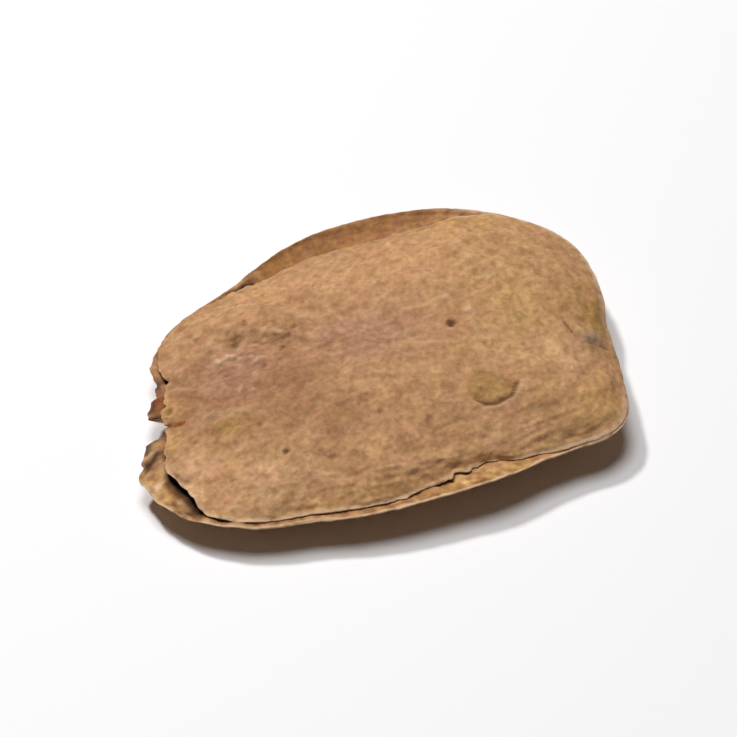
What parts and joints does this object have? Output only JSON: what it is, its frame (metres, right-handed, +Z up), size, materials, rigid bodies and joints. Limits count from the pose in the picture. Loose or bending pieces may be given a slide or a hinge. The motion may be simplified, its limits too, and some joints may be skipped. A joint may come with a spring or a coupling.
{
  "type": "bean",
  "caption": "Flat dried bean with a leathery brown coat, domed on both faces, with a thin seam round its rim and one torn, gaping end.",
  "frame": {"origin": "middle of the bean's footprint, on the surface that it rests on", "axes": "+X along the bean towards its round end, +Y towards the edge with the rolled flange, +Z up out of the domed upper face"},
  "size_m": [0.038, 0.027, 0.0066],
  "materials": {
    "dry_coat": "matte"
  },
  "bodies": {
    "root": {"bean": "dry_coat"}
  },
  "joints": []
}
